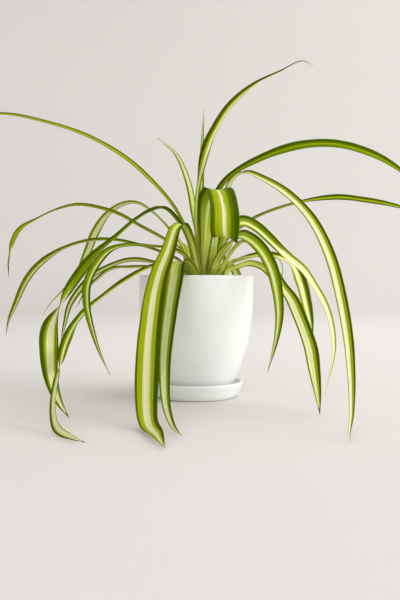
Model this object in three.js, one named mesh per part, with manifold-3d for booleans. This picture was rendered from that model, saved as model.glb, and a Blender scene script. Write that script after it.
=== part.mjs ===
// A potted spider plant: a glazed ceramic pot that stands in its own saucer, filled with potting soil,
// with a rosette of long striped leaves that rises from one short crown.
// Millimetres, +Z up. The origin is the centre of the saucer's flat underside, on the surface the pot
// stands on. +X is to the right and -Y is towards the viewer of the plant's front.

import * as THREE from "three";
import { mergeVertices } from "three/addons/utils/BufferGeometryUtils.js";
import Module from "manifold-3d";

const wasm = await Module();
wasm.setup();

// Driving dimensions.
const CLEARANCE = 0.3; // between pieces that touch in real life
const ROUND_SIDES = 40; // facets round the pot, saucer and soil
const CROWN_SIDES = 36;
const POT_SIDE_STEPS = 14;
const LIP_STEPS = 6;
const DOME_STEPS = 8;

const SAUCER = {
  footRadius: 46,
  rimRadius: 54,
  height: 18,
  wall: 3.6,
  floor: 4,
};

// Section of the saucer as [radius, height]: from the middle of its underside out to the foot of its
// rounded lip, and from inside the lip back to the middle.
const SAUCER_OUTSIDE = [
  [0, 0],
  [SAUCER.footRadius, 0],
  [47.4, 1.2],
  [49.4, 6.3],
  [52.6, 12.6],
];
const SAUCER_INSIDE = [
  [48.4, 10.8],
  [46.5, 5.4],
  [45, SAUCER.floor],
  [0, SAUCER.floor],
];

const POT = {
  rimRadius: 65,
  footRadius: 39.5,
  top: 138, // height of the rim above the surface the saucer stands on
  wall: 5,
  floor: 6,
  cornerWidth: 3, // of the slope between the floor and the wall inside
  cornerHeight: 8,
  footRing: 8, // width of the ring that the pot stands on
  footRecess: 2, // how far the base is hollowed inside that ring
  drainRadius: 6,
  lip: 2.6, // radius of the rounded rim
};
const POT_FOOT_Z = SAUCER.floor + CLEARANCE;

// Outside of the pot, from foot to rim, as [radius, height].
const POT_SIDE = [
  [POT.footRadius, POT_FOOT_Z],
  [44.5, 18],
  [49, 29.5],
  [54.7, 44.5],
  [59.5, 62],
  [62.4, 80],
  [64.4, 98],
  [POT.rimRadius, 116],
  [POT.rimRadius, POT.top - POT.lip],
];

const SOIL = {
  top: 122,
  edgeDrop: 1.5, // the soil falls away by this much at the wall
  edgeWidth: 5,
};

const CROWN = {
  x: 9,
  y: 0,
  radius: 20, // of the dome that the leaves grow from
  stubRadius: 15, // of the rootstock in the soil
  stubDepth: 16,
};
const CROWN_BASE = SOIL.top + CLEARANCE; // height of the dome's foot

const LEAF = {
  facetLength: 24, // along a straight stretch of a leaf
  facetBend: 22, // degrees that one facet may turn where a leaf bends
  start: 9, // straight stretch off the crown
  baseWidth: 8.4, // widest that a leaf may be where it leaves the crown
  baseShare: 0.6, // width at the base, as a share of the full width
  fullAt: 0.34, // share of the length where the full width is reached
  broadTo: 0.42, // share of the length where the blade starts to narrow to its tip
  taper: 1.9, // how late it narrows
  tipWidth: 1.6,
  ribThickness: [1.7, 1.0], // at the base and at the tip
  edgeThickness: 0.75,
  fold: [0.55, 0.24, 0.34], // depth of the channel over half the width: base, middle, tip
  openBy: 0.4, // share of the length where the channel is at its shallowest
  closeFrom: 0.6, // share of the length where it begins to deepen again
};
const LENGTH_SAMPLES = 600; // points that measure a leaf's length
const RING_SAMPLES = 400; // points that place the rings of a blade

const GREEN = "#7d9a3c";
const COLOURS = {
  glaze: "#e9e9e6",
  soil: "#3b2c20",
  crown: "#d5d6a0",
};

// Every leaf. heading and rise are the angles, in degrees, at which it leaves the crown: heading turns
// from +X towards +Y, rise is measured from level. width is the blade's greatest width, and fullAt and
// broadTo, where given, take the place of those in LEAF. path is the midrib after the crown, in points
// chosen by hand. Each twist is [from, to, degrees]: between those two shares of its length the blade
// turns about its midrib by that much.
const LEAVES = [
  {
    name: "leaf_tall_right", heading: 203, rise: 74, width: 11, broadTo: 0.36,
    path: [[0, -2, 172], [-1, -4, 208], [2, -5, 240], [11, -5, 280], [25, -2, 310], [40, 2, 332],
      [67, 8, 356], [97, 13, 372], [122, 17, 384.5], [135, 18, 380]],
    twist: [[0.3, 0.55, 110], [0.66, 0.82, 45]],
  },
  {
    name: "leaf_upright_thin", heading: 100, rise: 72, width: 6.5,
    path: [[6, 13, 172], [6, 16, 225], [7, 17, 283], [9, 18, 328]],
  },
  {
    name: "leaf_lean_left", heading: 150, rise: 68, width: 7.5, broadTo: 0.55,
    path: [[1, 8, 178], [-3, 11, 211], [-9, 15, 244], [-23, 19, 277], [-44, 22, 297]],
    twist: [[0.1, 0.5, -40]],
  },
  {
    name: "leaf_far_left", heading: 160, rise: 58, width: 9.5, broadTo: 0.76,
    path: [[-6, 8, 175], [-19, 16, 205], [-37, 22, 231], [-81, 35, 274], [-128, 45, 302.5],
      [-175, 52, 319.5], [-238, 60, 332.5], [-285, 66, 326]],
    twist: [[0.1, 0.4, -22]],
  },
  {
    name: "leaf_high_right", heading: 40, rise: 72, width: 12, broadTo: 0.72,
    path: [[17, 9, 181], [19, 13, 217], [36, 18, 248.5], [77, 22, 274], [122, 26, 289], [164, 30, 291],
      [208, 34, 279.5], [242, 38, 261], [276, 40, 234]],
    twist: [[0.3, 0.55, 30]],
  },
  {
    name: "leaf_long_right", heading: 322, rise: 62, width: 11.5, broadTo: 0.62,
    path: [[25, -12, 186], [34, -22, 227], [41, -32, 242], [51, -42, 249], [71, -60, 240],
      [93, -84, 223], [114, -112, 196], [128, -142, 160], [135, -170, 119], [139, -188, 79],
      [139, -204, 45], [136, -222, 20], [130, -246, 7], [127, -264, 3.5]],
    twist: [[0.2, 0.4, 20]],
  },
  {
    name: "leaf_thin_right", heading: 36, rise: 46, width: 9, broadTo: 0.7,
    path: [[31, 20, 171], [64, 38, 202], [91, 46, 215], [132, 55, 227], [172, 61, 232], [206, 66, 229],
      [238, 71, 224], [264, 76, 217], [285, 80, 204]],
    twist: [[0.3, 0.6, 15], [0.46, 0.66, 26]],
  },
  {
    name: "leaf_pale_right", heading: 16, rise: 56, width: 15, fullAt: 0.16, broadTo: 0.36,
    path: [[30, 6, 172], [41, 8, 194], [55, 11, 199], [69, 14, 193], [83, 14, 181], [97, 13, 167],
      [110, 12, 155], [123, 10, 144], [136, 7, 125], [147, 4, 105], [154, 2, 84], [157, -2, 58],
      [153, -6, 30], [146, -12, 4]],
    twist: [[0.02, 0.2, 60], [0.34, 0.46, -15]],
  },
  {
    name: "leaf_back_right", heading: 34, rise: 22, width: 17, broadTo: 0.72,
    path: [[37, 20, 148], [54, 36, 156], [79, 48, 161], [101, 54, 159], [117, 57, 149], [127, 59, 128],
      [133, 60, 105], [138, 60, 83], [142, 60, 61]],
    twist: [[0.2, 0.45, 35], [0.5, 0.65, 42]],
  },
  {
    name: "leaf_hook_right", heading: 10, rise: 26, width: 9,
    path: [[39, 13, 153], [64, 20, 159], [84, 25, 161], [97, 28, 157], [102, 30, 144], [99, 30, 128]],
    twist: [[0.2, 0.6, 30]],
  },
  {
    name: "leaf_striped_right", heading: 308, rise: 48, width: 15.5, fullAt: 0.2, broadTo: 0.28,
    path: [[25, -14, 153], [37, -24, 169], [48, -34, 181], [59, -42, 177], [69, -52, 167],
      [77, -64, 153], [82, -78, 137], [85, -92, 114], [85, -102, 94], [81, -110, 72], [72, -117, 41]],
    twist: [[0.13, 0.27, 55]],
  },
  {
    name: "leaf_large_right", heading: 336, rise: 42, width: 14, fullAt: 0.45, broadTo: 0.76,
    path: [[34, -11, 152], [43, -14, 166], [52, -20, 175], [62, -28, 173], [71, -38, 163],
      [81, -50, 147], [90, -66, 128], [100, -82, 112], [106, -95, 96], [111, -107, 80], [115, -118, 64],
      [117, -129, 43], [119, -140, 20], [120, -146, 3.5]],
    twist: [[0.4, 0.6, 30]],
  },
  {
    name: "leaf_low_right", heading: 348, rise: 24, width: 10,
    path: [[34, -4, 140], [49, 2, 147], [62, 8, 151], [76, 12, 147], [90, 14, 132], [99, 12, 84]],
  },
  {
    name: "leaf_broad_front", heading: 267, rise: 66, width: 27, broadTo: 0.84,
    path: [[10, -16, 166], [13, -22, 197], [16, -36, 219], [21, -64, 227], [25, -100, 221],
      [27.5, -138, 204], [28, -158, 190], [28, -163, 180], [29, -157, 174.5], [31, -145, 177],
      [33.5, -132, 185]],
    twist: [[0.15, 0.4, 15], [0.83, 0.94, 36]],
  },
  {
    name: "leaf_front_long", heading: 243, rise: 54, width: 24, fullAt: 0.6, broadTo: 0.6,
    path: [[-5, -18, 174], [-13, -34, 192], [-20.5, -56, 188], [-28, -90, 161], [-37, -115, 132],
      [-43, -146, 82], [-44.5, -170, 27], [-41, -203, 6.5], [-31, -245, 4], [-23, -290, 3]],
  },
  {
    name: "leaf_front_short", heading: 252, rise: 30, width: 19.5, fullAt: 0.2, broadTo: 0.2,
    path: [[-7, -26, 149], [-17.5, -52, 150], [-20.5, -88, 133], [-25.5, -128, 94], [-28.5, -155, 56],
      [-26.5, -180, 22], [-20, -208, 6], [-10.5, -245, 3]],
  },
  {
    name: "leaf_kinked_left", heading: 207, rise: 63, width: 18.5, fullAt: 0.6, broadTo: 0.78,
    path: [[-10, -8, 178], [-22, -16, 200], [-36, -26, 212], [-50, -36, 208], [-67, -54, 195],
      [-83, -74, 178], [-100, -94, 160], [-113, -112, 141], [-125, -126, 121], [-133, -136, 104],
      [-139, -143, 87], [-140, -148, 66], [-137, -154, 40], [-129, -160, 19], [-118, -166, 4]],
    twist: [[0.2, 0.4, 38], [0.46, 0.58, 30], [0.63, 0.83, -114]],
  },
  {
    name: "leaf_low_left_long", heading: 222, rise: 20, width: 12, broadTo: 0.7,
    path: [[-14, -17, 141], [-31, -32, 150], [-49, -50, 146], [-69, -74, 135], [-87, -94, 122],
      [-103, -112, 108], [-115, -128, 94], [-123, -142, 76], [-127, -156, 57], [-129, -172, 36],
      [-128, -190, 18], [-123, -210, 7.5], [-115, -230, 4], [-101, -252, 3], [-88, -270, 3]],
    twist: [[0.05, 0.25, 42], [0.38, 0.48, 16], [0.48, 0.55, 32], [0.585, 0.67, -68]],
  },
  {
    name: "leaf_outer_left_high", heading: 184, rise: 48, width: 9, broadTo: 0.8,
    path: [[-16, 0, 166], [-37, -4, 179], [-63, -8, 193], [-86, -11, 206], [-108, -14, 213],
      [-133, -18, 216], [-157, -22, 210], [-178, -26, 199], [-194, -30, 187], [-202, -33, 170],
      [-205, -35, 152], [-205, -36, 135]],
    twist: [[0.05, 0.25, 22], [0.55, 0.68, -22], [0.7, 0.84, 40], [0.86, 0.94, -50]],
  },
  {
    name: "leaf_outer_left_mid", heading: 202, rise: 36, width: 10, broadTo: 0.72,
    path: [[-18, -9, 153], [-40, -20, 164], [-62, -28, 171], [-88, -36, 176], [-115, -43, 175],
      [-141, -49, 167], [-165, -55, 151], [-180, -60, 132], [-191, -65, 106], [-197, -68, 91],
      [-200, -71, 75]],
    twist: [[0.2, 0.5, 20], [0.55, 0.75, 30]],
  },
  {
    name: "leaf_drop_left", heading: 224, rise: 44, width: 12, broadTo: 0.36,
    path: [[-11, -17, 157], [-28, -30, 167], [-49, -48, 169], [-71, -70, 169], [-88, -92, 163],
      [-99, -116, 147], [-105, -134, 128], [-104, -144, 109], [-99, -152, 90], [-91, -158, 67],
      [-80, -163, 44]],
    twist: [[0.1, 0.35, -20]],
  },
  {
    name: "leaf_back_left_arc", heading: 158, rise: 42, width: 13,
    path: [[-14, 14, 165], [-28, 25, 187], [-49, 36, 210], [-67, 43, 222], [-84, 48, 223],
      [-104, 54, 213], [-122, 59, 189], [-132, 62, 166], [-144, 64, 140], [-164, 66, 118],
      [-178, 67, 104], [-188, 68, 90]],
    twist: [[0.1, 0.3, 12], [0.5, 0.66, 38], [0.72, 0.85, -50]],
  },
  {
    name: "leaf_low_left_a", heading: 182, rise: 18, width: 10, broadTo: 0.65,
    path: [[-20, 1, 142], [-53, 6, 153], [-76, 4, 155], [-98, 1, 148], [-117, -4, 137], [-131, -8, 121],
      [-142, -12, 103], [-147, -15, 83], [-152, -18, 60]],
    twist: [[0.1, 0.35, 20], [0.5, 0.75, 25]],
  },
  {
    name: "leaf_low_left_b", heading: 160, rise: 18, width: 9, broadTo: 0.6,
    path: [[-19, 12, 139], [-54, 29, 147], [-78, 33, 147], [-100, 35, 145], [-117, 35, 133],
      [-131, 34, 118], [-142, 33, 99]],
    twist: [[0.1, 0.35, 15]],
  },
  {
    name: "leaf_back_centre", heading: 96, rise: 57, width: 15,
    path: [[8, 32, 160], [6, 66, 177], [2, 112, 166], [-3, 154, 120], [-6, 178, 60], [-5, 196, 14],
      [-1, 228, 3.5]],
  },
  {
    name: "leaf_back_centre_right", heading: 72, rise: 43, width: 14,
    path: [[20, 33, 158], [26, 70, 172], [31, 112, 154], [35, 142, 104], [37, 154, 40]],
  },
  {
    name: "leaf_back_centre_left", heading: 122, rise: 43, width: 15,
    path: [[-8, 30, 160], [-24, 60, 175], [-41, 100, 160], [-52, 134, 112], [-56, 152, 52],
      [-54, 160, 12]],
  },
  {
    name: "leaf_back_low_left", heading: 136, rise: 26, width: 12,
    path: [[-14, 26, 145], [-34, 54, 149], [-54, 84, 130], [-64, 102, 90], [-66, 108, 40]],
  },
  {
    name: "leaf_back_low_centre", heading: 111, rise: 26, width: 13,
    path: [[0, 34, 145], [-8, 68, 150], [-16, 98, 126], [-20, 114, 80], [-22, 118, 34]],
  },
  {
    name: "leaf_back_low_right", heading: 86, rise: 26, width: 12,
    path: [[14, 34, 145], [20, 70, 149], [26, 100, 126], [30, 116, 82], [32, 120, 36]],
  },
  {
    name: "leaf_back_outer_right", heading: 61, rise: 26, width: 12,
    path: [[26, 28, 145], [42, 56, 149], [52, 84, 130], [56, 98, 92], [56, 104, 46]],
  },
  {
    name: "leaf_young_left", heading: 300, rise: 86, width: 8,
    path: [[9, -5, 165], [8, -8, 184], [5, -11, 200]],
  },
  {
    name: "leaf_young_right", heading: 336, rise: 74, width: 8,
    path: [[17, -2, 162], [19, -3, 184], [22, -5, 204]],
  },
];

// A piece that turns about the vertical axis, from its closed outline of [radius, height] points.
function turned(outline, sides = ROUND_SIDES) {
  const points = outline.map(([r, z]) => new THREE.Vector2(r, z));
  return new THREE.LatheGeometry(points, sides).rotateX(Math.PI / 2);
}

// A closed geometry as a solid, and back.
function toSolid(geometry) {
  const bare = geometry.clone();
  bare.deleteAttribute("normal");
  bare.deleteAttribute("uv");
  const merged = mergeVertices(bare, 1e-3);
  return new wasm.Manifold(
    new wasm.Mesh({
      numProp: 3,
      vertProperties: merged.attributes.position.array,
      triVerts: new Uint32Array(merged.index.array),
    }),
  );
}

function toGeometry(solid) {
  const mesh = solid.getMesh();
  const geometry = new THREE.BufferGeometry();
  geometry.setAttribute("position", new THREE.BufferAttribute(mesh.vertProperties, 3));
  geometry.setIndex(new THREE.BufferAttribute(mesh.triVerts, 1));
  geometry.computeVertexNormals();
  return geometry;
}

// Points on a quarter or half round, from one angle to another in degrees.
function arc(cx, cz, radius, from, to, steps) {
  return Array.from({ length: steps + 1 }, (_, i) => {
    const a = THREE.MathUtils.degToRad(from + ((to - from) * i) / steps);
    return [cx + radius * Math.cos(a), cz + radius * Math.sin(a)];
  });
}

// The pot's outside radius follows one smooth curve through POT_SIDE.
function potSide(steps) {
  const curve = new THREE.SplineCurve(POT_SIDE.map(([r, z]) => new THREE.Vector2(r, z)));
  return curve.getSpacedPoints(steps).map((p) => [p.x, p.y]);
}

const SIDE = potSide(POT_SIDE_STEPS);
const BOWL_FLOOR = POT_FOOT_Z + POT.footRecess + POT.floor;

// The inside of the pot, from its floor to just under the rim, shrunk by a further clearance.
function bowl(shrink) {
  const wall = POT.wall + shrink;
  const corner = [POT.footRadius - wall - POT.cornerWidth, BOWL_FLOOR + shrink];
  const above = SIDE.filter(([, z]) => z > BOWL_FLOOR + POT.cornerHeight);
  return [corner, ...above.map(([r, z]) => [r - wall, z])];
}

function pot() {
  const lip = arc(POT.rimRadius - POT.lip, POT.top - POT.lip, POT.lip, 0, 180, LIP_STEPS);
  const inside = bowl(0).reverse();
  const foot = POT.footRadius - POT.footRing;
  return turned([
    [foot, POT_FOOT_Z],
    ...SIDE.slice(0, -1),
    ...lip,
    ...inside.slice(1),
    [POT.drainRadius, BOWL_FLOOR],
    [POT.drainRadius, POT_FOOT_Z + POT.footRecess],
    [foot - POT.footRecess, POT_FOOT_Z + POT.footRecess],
    [foot, POT_FOOT_Z],
  ]);
}

function saucer() {
  const lip = SAUCER.wall / 2;
  return turned([
    ...SAUCER_OUTSIDE,
    ...arc(SAUCER.rimRadius - lip, SAUCER.height - lip, lip, 0, 180, LIP_STEPS),
    ...SAUCER_INSIDE,
  ]);
}

function soil() {
  const edgeTop = SOIL.top - SOIL.edgeDrop;
  const inside = bowl(CLEARANCE).filter(([, z]) => z < edgeTop);
  const [edge] = inside[inside.length - 1];
  const filling = turned([
    [0, BOWL_FLOOR + CLEARANCE],
    ...inside,
    [edge, edgeTop],
    [edge - SOIL.edgeWidth, SOIL.top],
    [0, SOIL.top],
  ]);
  const radius = CROWN.stubRadius + CLEARANCE;
  const height = 2 * (CROWN.stubDepth + CLEARANCE);
  const hole = new THREE.CylinderGeometry(radius, radius, height, CROWN_SIDES)
    .rotateX(Math.PI / 2)
    .translate(CROWN.x, CROWN.y, SOIL.top);
  return toGeometry(toSolid(filling).subtract(toSolid(hole)));
}

function crown() {
  const outline = [
    [0, SOIL.top - CROWN.stubDepth],
    [CROWN.stubRadius, SOIL.top - CROWN.stubDepth],
    [CROWN.stubRadius, CROWN_BASE],
    ...arc(0, CROWN_BASE, CROWN.radius, 0, 90, DOME_STEPS).slice(0, -1),
    [0, CROWN_BASE + CROWN.radius],
  ];
  return turned(outline, CROWN_SIDES).translate(CROWN.x, CROWN.y, 0);
}

// The blade is narrow at the crown, full from fullAt to broadTo, and drawn out to a point at the tip.
function widthAt(leaf, t) {
  const { fullAt, broadTo } = { ...LEAF, ...leaf };
  const base = Math.min(LEAF.baseWidth, leaf.width * LEAF.baseShare);
  const full = THREE.MathUtils.lerp(base, leaf.width, THREE.MathUtils.smoothstep(t, 0, fullAt));
  const run = Math.max(0, (t - broadTo) / (1 - broadTo));
  return Math.max(LEAF.tipWidth, full * (1 - run ** LEAF.taper));
}

// Depth of the blade's channel over half its width: deep at the crown, shallow along the middle.
function foldShare(t) {
  const [base, middle, tip] = LEAF.fold;
  const opening = THREE.MathUtils.smoothstep(t, 0, LEAF.openBy);
  const closing = THREE.MathUtils.smoothstep(t, LEAF.closeFrom, 1);
  return THREE.MathUtils.lerp(THREE.MathUtils.lerp(base, middle, opening), tip, closing);
}

// The midrib as a curve: straight off the crown, then through the leaf's own points.
function midrib({ heading, rise, path }) {
  const turn = THREE.MathUtils.degToRad(heading);
  const lift = THREE.MathUtils.degToRad(rise);
  const out = new THREE.Vector3(
    Math.cos(turn) * Math.cos(lift),
    Math.sin(turn) * Math.cos(lift),
    Math.sin(lift),
  );
  const middle = new THREE.Vector3(CROWN.x, CROWN.y, CROWN_BASE);
  const near = CROWN.radius + CLEARANCE;
  const curve = new THREE.CatmullRomCurve3(
    [
      middle.clone().addScaledVector(out, near),
      middle.clone().addScaledVector(out, near + LEAF.start),
      ...path.map((p) => new THREE.Vector3(...p)),
    ],
    false,
    "centripetal",
  );
  curve.arcLengthDivisions = LENGTH_SAMPLES;
  return curve;
}

// Where the rings of a blade lie, as shares of its length: closer together where it bends or twists.
function ringPlaces(curve, twist) {
  const stretch = curve.getLength() / RING_SAMPLES / LEAF.facetLength;
  const spent = [0];
  let last = curve.getTangentAt(0);
  for (let i = 1; i <= RING_SAMPLES; i++) {
    const tangent = curve.getTangentAt(i / RING_SAMPLES);
    const bend = THREE.MathUtils.radToDeg(tangent.angleTo(last));
    const twisted = Math.abs(twistAt(twist, i / RING_SAMPLES) - twistAt(twist, (i - 1) / RING_SAMPLES));
    spent.push(spent[i - 1] + stretch + (bend + twisted / 2) / LEAF.facetBend);
    last = tangent;
  }
  const whole = spent[RING_SAMPLES];
  const rings = Math.round(whole);
  const places = Array.from({ length: rings }, (_, k) => {
    const goal = (whole * k) / rings;
    const at = spent.findIndex((v) => v > goal);
    const part = (goal - spent[at - 1]) / (spent[at] - spent[at - 1]);
    return (at - 1 + part) / RING_SAMPLES;
  });
  return [...places, 1];
}

// Degrees that the blade has turned about its midrib at a share of its length.
function twistAt(twist, t) {
  return twist.reduce((sum, [from, to, turn]) => sum + turn * THREE.MathUtils.smoothstep(t, from, to), 0);
}

// One leaf: a thin channelled blade with a rib along its middle. Each ring of the blade has three
// points on its upper face and three under them, and both faces are cut into triangles alike.
function blade(leaf) {
  const curve = midrib(leaf);
  const twist = leaf.twist ?? [];
  const places = ringPlaces(curve, twist);
  const steps = places.length - 1;
  const turn = THREE.MathUtils.degToRad(leaf.heading);
  const across = new THREE.Vector3(Math.sin(turn), -Math.cos(turn), 0);
  const along = curve.getTangentAt(0);
  const positions = [];
  for (const t of places) {
    const next = curve.getTangentAt(t);
    across.applyQuaternion(new THREE.Quaternion().setFromUnitVectors(along, next));
    across.addScaledVector(next, -across.dot(next)).normalize();
    along.copy(next);
    const angle = THREE.MathUtils.degToRad(twistAt(twist, t));
    const side = across.clone().applyAxisAngle(along, angle);
    const up = side.clone().cross(along);
    const half = widthAt(leaf, t) / 2;
    const raised = half * foldShare(t);
    const rib = THREE.MathUtils.lerp(...LEAF.ribThickness, t);
    const centre = curve.getPointAt(t);
    const ring = [
      [-half, raised],
      [0, 0],
      [half, raised],
      [-half, raised - LEAF.edgeThickness],
      [0, -rib],
      [half, raised - LEAF.edgeThickness],
    ];
    for (const [w, n] of ring)
      positions.push(...centre.clone().addScaledVector(side, w).addScaledVector(up, n));
  }
  const faces = [];
  for (let i = 0; i < steps; i++) {
    const here = 6 * i;
    const there = here + 6;
    for (const [a, b] of [[0, 1], [1, 2], [2, 5], [3, 0]])
      faces.push(here + a, here + b, there + b, here + a, there + b, there + a);
    for (const [a, b] of [[5, 4], [4, 3]])
      faces.push(here + a, here + b, there + a, here + b, there + b, there + a);
  }
  const end = 6 * steps;
  for (const [a, b, c] of [[0, 1, 4], [0, 4, 3], [1, 2, 5], [1, 5, 4]]) {
    faces.push(a, c, b);
    faces.push(end + a, end + b, end + c);
  }
  const geometry = new THREE.BufferGeometry();
  geometry.setAttribute("position", new THREE.Float32BufferAttribute(positions, 3));
  geometry.setIndex(faces);
  geometry.computeVertexNormals();
  return geometry;
}

function piece(name, geometry, color, roughness) {
  const material = new THREE.MeshStandardMaterial({ color, roughness, metalness: 0 });
  const mesh = new THREE.Mesh(geometry, material);
  mesh.name = name;
  return mesh;
}

const plant = new THREE.Group();
plant.add(piece("saucer", saucer(), COLOURS.glaze, 0.25));
plant.add(piece("pot", pot(), COLOURS.glaze, 0.25));
plant.add(piece("soil", soil(), COLOURS.soil, 0.95));
plant.add(piece("crown", crown(), COLOURS.crown, 0.6));
for (const leaf of LEAVES) plant.add(piece(leaf.name, blade(leaf), GREEN, 0.45));

export default plant;
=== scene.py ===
"""A potted spider plant: a white glazed pot in its saucer, potting soil, the crown and striped leaves.

It is laid out as an add-on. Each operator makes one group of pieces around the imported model, in metres.
"""

import bisect
import math
import random
from collections import namedtuple

import bmesh
import bpy
from bpy.props import FloatProperty, FloatVectorProperty, IntProperty, PointerProperty
from mathutils import Matrix, Vector, noise


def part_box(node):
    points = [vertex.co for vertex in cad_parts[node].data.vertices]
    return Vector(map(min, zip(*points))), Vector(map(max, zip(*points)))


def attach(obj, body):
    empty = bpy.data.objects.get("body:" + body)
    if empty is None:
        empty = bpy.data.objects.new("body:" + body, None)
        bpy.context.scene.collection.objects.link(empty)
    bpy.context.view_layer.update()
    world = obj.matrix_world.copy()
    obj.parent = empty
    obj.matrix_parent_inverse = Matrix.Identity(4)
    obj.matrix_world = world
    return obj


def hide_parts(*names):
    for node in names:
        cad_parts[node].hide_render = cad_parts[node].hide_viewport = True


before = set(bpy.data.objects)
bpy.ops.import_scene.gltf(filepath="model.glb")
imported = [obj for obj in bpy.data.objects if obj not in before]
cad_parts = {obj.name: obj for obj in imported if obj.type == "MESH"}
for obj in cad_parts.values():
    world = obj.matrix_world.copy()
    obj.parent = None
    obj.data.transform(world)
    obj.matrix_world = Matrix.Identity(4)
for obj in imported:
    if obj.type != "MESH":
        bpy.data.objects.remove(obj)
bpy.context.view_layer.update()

bl_info = {
    "name": "Potted Spider Plant",
    "version": (1, 0, 0),
    "blender": (4, 5, 0),
    "location": "3D View > Sidebar > Plant",
    "description": "Makes a spider plant with striped leaves in a glazed pot",
    "category": "Add Mesh",
}

BODY = "root"
TURN = 2 * math.pi
MILLIMETRES = 1000  # in a metre
CLEARANCE = 0.0003  # between pieces of the model that touch in real life

# Pot and saucer, in metres. An outline's points are (radius, height), and the rims come from the frame.
SAUCER_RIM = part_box("saucer")[1]
POT_FOOT, POT_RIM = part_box("pot")
SOIL_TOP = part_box("soil")[1]
POT_WALL = 0.005
POT_LIP = 0.0026  # radius of the rounded rim
POT_FOOT_RADIUS = 0.0395
POT_FOOT_RING = 0.008  # width of the ring that the pot stands on
POT_RECESS = 0.002  # height of the hollow inside that ring
POT_FLOOR = 0.006
POT_CORNER = 0.008  # height over which the inside rounds into the floor
DRAIN_RADIUS = 0.006
POT_SIDE = (
    (POT_FOOT_RADIUS, POT_FOOT.z), (0.0445, 0.018), (0.049, 0.0295), (0.0547, 0.0445), (0.0595, 0.062),
    (0.0624, 0.08), (0.0644, 0.098), (POT_RIM.x, 0.116), (POT_RIM.x, POT_RIM.z - POT_LIP),
)
LIP_STEPS = 14
SAUCER_LIP = 0.0018
SAUCER_FLOOR = 0.004
SAUCER_OUTSIDE = ((0.0452, 0.0), (0.0474, 0.0012), (0.0494, 0.0063), (0.0526, 0.0126))
SAUCER_INSIDE = ((0.0484, 0.0108), (0.0465, 0.0054), (0.045, SAUCER_FLOOR))
WOBBLE_SCALE = 26

# The soil is a disc of rings over a plain side, with loose crumbs on top.
SOIL_BASE = 0.0126
SOIL_SIDE = ((SOIL_TOP.x, 0.1), (0.0575, 0.085), (0.0545, 0.065), (0.0455, 0.032), (0.031, SOIL_BASE))
SOIL_RINGS = 44
SOIL_STEPS = 140
LUMP_SCALE, GRAIN_SCALE = 70, 260
SOIL_SEED = 5  # for the places, sizes and rough surfaces of the crumbs
SOIL_SLOPE = (0.006, 0.0015)  # width and drop of the soil's slope along the pot's wall
PLAIN_SHADE = 0.3
COARSE_CRUMB = 0.0016  # crumbs over this size are made of more faces
LARGEST_CRUMB = 0.0034
CRUMB_MARGIN = 0.002  # how far crumbs stay off the pot's wall and reach in under the crown

# The crown is a dome over a stub of rootstock, and the leaves leave it square to its surface.
CROWN_MIDDLE = Vector((0.009, 0.0, SOIL_TOP.z + CLEARANCE))
CROWN_RADIUS = 0.02
CROWN_STUB = 0.015  # radius of the rootstock
CROWN_FOOT = 0.106
CROWN_RIB = 0.0007  # depth of the grooves between the leaf bases
CROWN_STEPS = 120

Leaf = namedtuple(
    "Leaf", "name heading rise width path twist full_at broad_to", defaults=((), 0.34, 0.42)
)

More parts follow.
